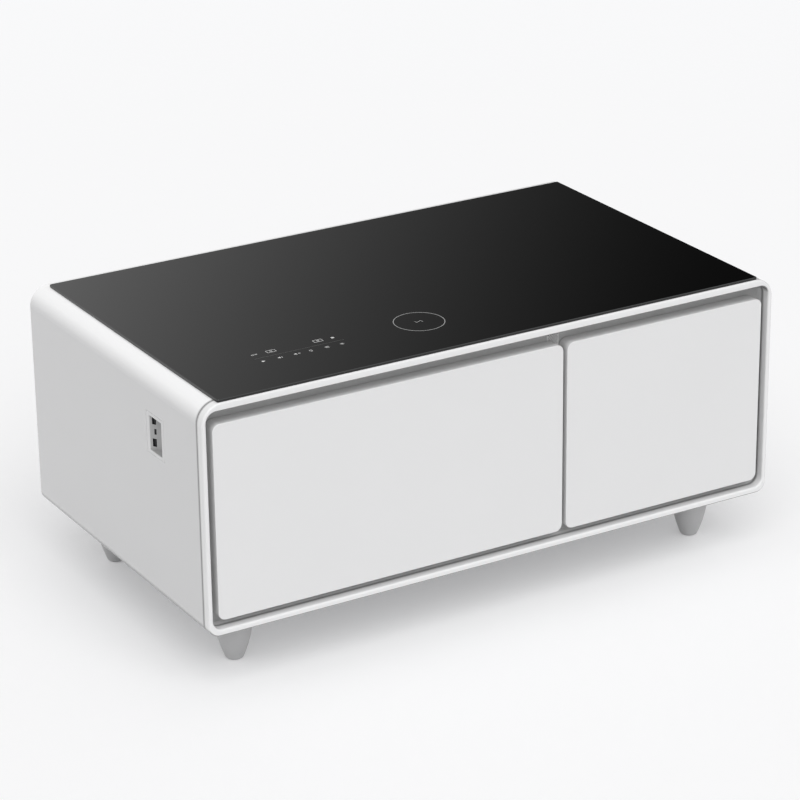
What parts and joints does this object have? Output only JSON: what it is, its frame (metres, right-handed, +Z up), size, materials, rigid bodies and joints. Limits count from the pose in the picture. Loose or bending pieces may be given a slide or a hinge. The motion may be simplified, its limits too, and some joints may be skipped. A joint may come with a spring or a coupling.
{
  "type": "refrigerator coffee table",
  "caption": "Low coffee table with a glass top, refrigerated drawers on telescopic slides, touch controls, charging sockets and a rear cooling unit.",
  "frame": {"origin": "on the floor, under the middle of the table", "axes": "+X to the right along the front, -Y out of the front, +Z up"},
  "size_m": [1, 0.58, 0.456],
  "materials": {
    "casing": "gloss",
    "glass_top": "polished",
    "drawer_face": "satin",
    "frame_paint": "satin",
    "grille_metal": "matte",
    "foot_plastic": "satin",
    "foam": "matte",
    "liner_plastic": "satin",
    "rubber": "matte",
    "gasket_rubber": "matte",
    "zinc_steel": "satin",
    "black_plastic": "matte",
    "panel_plastic": "satin",
    "compressor_paint": "satin",
    "copper": "satin",
    "aluminium": "satin",
    "circuit_board": "satin",
    "lamp_lens": "satin",
    "usb_plastic": "satin"
  },
  "bodies": {
    "cabinet": {"outer_shell": "casing", "front_bezel": "casing", "glass_top": "glass_top", "front_frame": "frame_paint", "speaker_grille": "grille_metal", "speaker": "black_plastic", "back_panel": "panel_plastic", "back_panel_screws": "zinc_steel", "top_insulation": "foam", "bottom_insulation": "foam", "left_insulation": "foam", "right_insulation": "foam", "centre_insulation": "foam", "rear_insulation": "foam", "left_bay_liner": "liner_plastic", "right_bay_liner": "liner_plastic", "left_evaporator": "aluminium", "right_evaporator": "aluminium", "bay_lamps": "lamp_lens", "left_outer_rails": "zinc_steel", "right_outer_rails": "zinc_steel", "front_left_foot": "foot_plastic", "front_right_foot": "foot_plastic", "rear_left_foot": "foot_plastic", "rear_right_foot": "foot_plastic", "foot_glides": "rubber", "foot_studs": "zinc_steel", "foot_mounting_plates": "zinc_steel", "touch_control_board": "circuit_board", "wireless_charging_coil": "copper", "usb_housing": "usb_plastic", "usb_sockets": "black_plastic", "usb_board": "circuit_board", "mains_inlet": "black_plastic", "compressor": "compressor_paint", "compressor_grommets": "rubber", "compressor_bolts": "zinc_steel", "condenser": "aluminium", "fan_shroud": "black_plastic", "fan_motor": "black_plastic", "discharge_pipe": "copper", "suction_pipe": "copper", "liquid_pipes": "copper", "control_board": "circuit_board", "power_supply": "aluminium"},
    "left_drawer": {"left_drawer_front": "drawer_face", "left_drawer_front_core": "foam", "left_drawer_inner_panel": "liner_plastic", "left_drawer_gasket": "gasket_rubber", "left_drawer_bin": "liner_plastic", "left_inner_rails": "zinc_steel"},
    "right_drawer": {"right_drawer_front": "drawer_face", "right_drawer_front_core": "foam", "right_drawer_inner_panel": "liner_plastic", "right_drawer_gasket": "gasket_rubber", "right_drawer_bin": "liner_plastic", "right_inner_rails": "zinc_steel"},
    "left_slides": {"left_middle_rails": "zinc_steel"},
    "right_slides": {"right_middle_rails": "zinc_steel"},
    "condenser_fan": {"fan_rotor": "black_plastic"}
  },
  "joints": [
    {"name": "left_drawer_slide", "type": "slide", "parent": "cabinet", "child": "left_drawer", "axis": [0, -1, 0], "range_m": [0, 0.33]},
    {"name": "left_rail_slide", "type": "slide", "parent": "cabinet", "child": "left_slides", "axis": [0, -1, 0], "range_m": [0, 0.165]},
    {"name": "right_drawer_slide", "type": "slide", "parent": "cabinet", "child": "right_drawer", "axis": [0, -1, 0], "range_m": [0, 0.33]},
    {"name": "right_rail_slide", "type": "slide", "parent": "cabinet", "child": "right_slides", "axis": [0, -1, 0], "range_m": [0, 0.165]},
    {"name": "condenser_fan_spin", "type": "hinge", "parent": "cabinet", "child": "condenser_fan", "pos_m": [-0.001, 0.202, 0.162], "axis": [1, 0, 0], "continuous": true}
  ],
  "couplings": [
    {"joint": "left_rail_slide", "follows": "left_drawer_slide", "ratio": 0.5},
    {"joint": "right_rail_slide", "follows": "right_drawer_slide", "ratio": 0.5}
  ]
}
